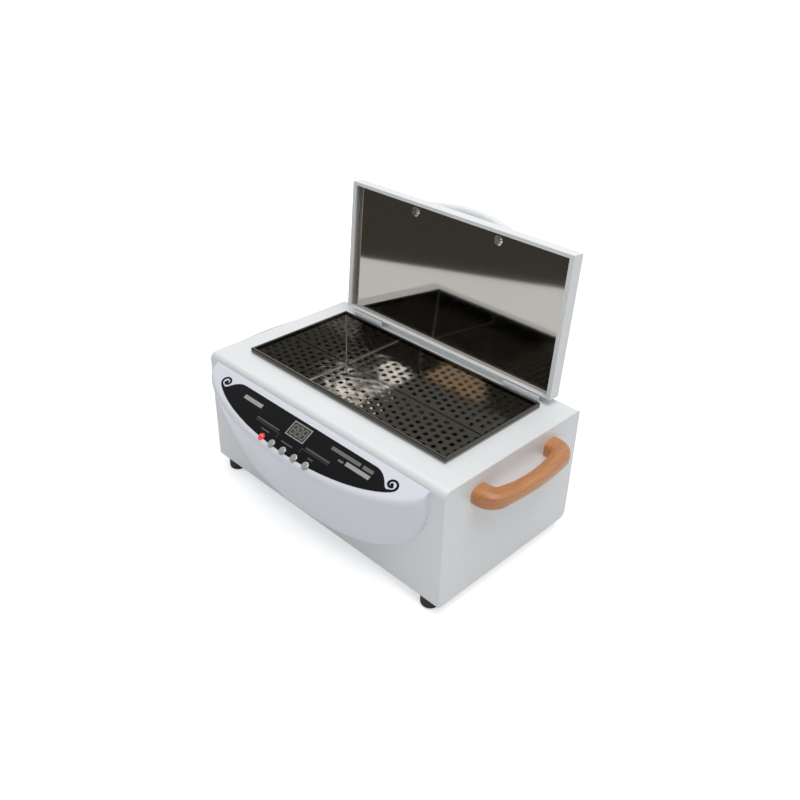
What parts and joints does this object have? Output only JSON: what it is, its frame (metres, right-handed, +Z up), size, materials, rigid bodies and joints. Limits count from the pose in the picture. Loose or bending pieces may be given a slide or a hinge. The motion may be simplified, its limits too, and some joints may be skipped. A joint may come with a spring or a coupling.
{
  "type": "dry heat sterilizer",
  "caption": "Bench dry heat sterilizer box: open hinged lid with mirror liner, stainless chamber with perforated tray, bow-fronted control moulding, wooden side handles.",
  "frame": {"origin": "on the bench, under the middle of the part's overall box with its lid open", "axes": "+X along the width, to the right seen from the front; front with the controls towards -Y; +Z up"},
  "size_m": [0.3766, 0.2509, 0.2799],
  "materials": {
    "white_paint": "smooth gloss white paint",
    "hinge_white": "gloss white paint over steel",
    "base_zinc": "dull zinc plate",
    "foot_rubber": "matt black rubber",
    "chamber_steel": "bright rolled stainless",
    "tray_steel": "bright perforated stainless",
    "liner_mirror": "mirror-polished stainless",
    "strap_steel": "plain stainless",
    "heater_sheath": "heat-darkened sheath",
    "insulation_fibre": "soft ceramic fibre",
    "fascia_white": "glossy white moulding",
    "label_black": "satin black film",
    "display_grey": "light grey frame",
    "display_face": "dark smooth face",
    "lamp_red": "translucent red lens",
    "button_metal": "satin nickel",
    "board_laminate": "green board lacquer",
    "component_dark": "dark moulded plastic",
    "relay_blue": "blue case",
    "transformer_tape": "yellow tape",
    "terminal_green": "green terminal strip",
    "standoff_brass": "plain brass",
    "handle_wood": "varnished light brown wood",
    "fastener_steel": "bright zinc plate"
  },
  "bodies": {
    "case": {"outer_case": "white_paint", "left_side_panel": "white_paint", "right_side_panel": "white_paint", "base_plate": "base_zinc", "panel_screws": "fastener_steel", "foot_front_left": "foot_rubber", "foot_front_right": "foot_rubber", "foot_rear_left": "foot_rubber", "foot_rear_right": "foot_rubber", "foot_screws": "fastener_steel", "foot_nuts": "fastener_steel", "chamber_tub": "chamber_steel", "perforated_tray": "tray_steel", "heating_element": "heater_sheath", "heater_straps": "strap_steel", "insulation_jacket": "insulation_fibre", "temperature_probe": "strap_steel", "thermal_cutout": "component_dark", "control_fascia": "fascia_white", "fascia_screws": "fastener_steel", "control_label": "label_black", "display_frame": "display_grey", "display_module": "display_face", "indicator_lamp": "lamp_red", "control_board": "board_laminate", "control_board_screws": "fastener_steel", "button_switches": "component_dark", "power_board": "board_laminate", "power_board_standoffs": "standoff_brass", "power_board_screws": "fastener_steel", "power_relay": "relay_blue", "power_transformer": "transformer_tape", "terminal_block": "terminal_green", "power_inlet": "component_dark", "inlet_screws": "fastener_steel", "left_handle": "handle_wood", "right_handle": "handle_wood", "left_handle_screws": "fastener_steel", "right_handle_screws": "fastener_steel", "hinge_left_case_leaf": "hinge_white", "hinge_left_pin": "fastener_steel", "hinge_right_case_leaf": "hinge_white", "hinge_right_pin": "fastener_steel", "hinge_case_screws": "fastener_steel"},
    "lid": {"lid_shell": "white_paint", "lid_liner": "liner_mirror", "lid_insulation": "insulation_fibre", "lid_handle": "white_paint", "lid_handle_screws": "fastener_steel", "lid_handle_washers": "fastener_steel", "hinge_left_lid_leaf": "hinge_white", "hinge_right_lid_leaf": "hinge_white", "hinge_lid_screws": "fastener_steel"},
    "button_1_cap": {"button_1": "button_metal"},
    "button_2_cap": {"button_2": "button_metal"},
    "button_3_cap": {"button_3": "button_metal"},
    "button_4_cap": {"button_4": "button_metal"}
  },
  "joints": [
    {"name": "lid_hinge", "type": "hinge", "parent": "case", "child": "lid", "pos_m": [0, 0.08158, 0.1385], "axis": [1, 0, 0], "range_deg": [0, 94]},
    {"name": "button_1_press", "type": "slide", "parent": "case", "child": "button_1_cap", "axis": [0, 0.5, -0.866], "range_m": [0, 0.001], "stiffness_N_per_m": 600},
    {"name": "button_2_press", "type": "slide", "parent": "case", "child": "button_2_cap", "axis": [0, 0.5, -0.866], "range_m": [0, 0.001], "stiffness_N_per_m": 600},
    {"name": "button_3_press", "type": "slide", "parent": "case", "child": "button_3_cap", "axis": [0, 0.5, -0.866], "range_m": [0, 0.001], "stiffness_N_per_m": 600},
    {"name": "button_4_press", "type": "slide", "parent": "case", "child": "button_4_cap", "axis": [0, 0.5, -0.866], "range_m": [0, 0.001], "stiffness_N_per_m": 600}
  ]
}
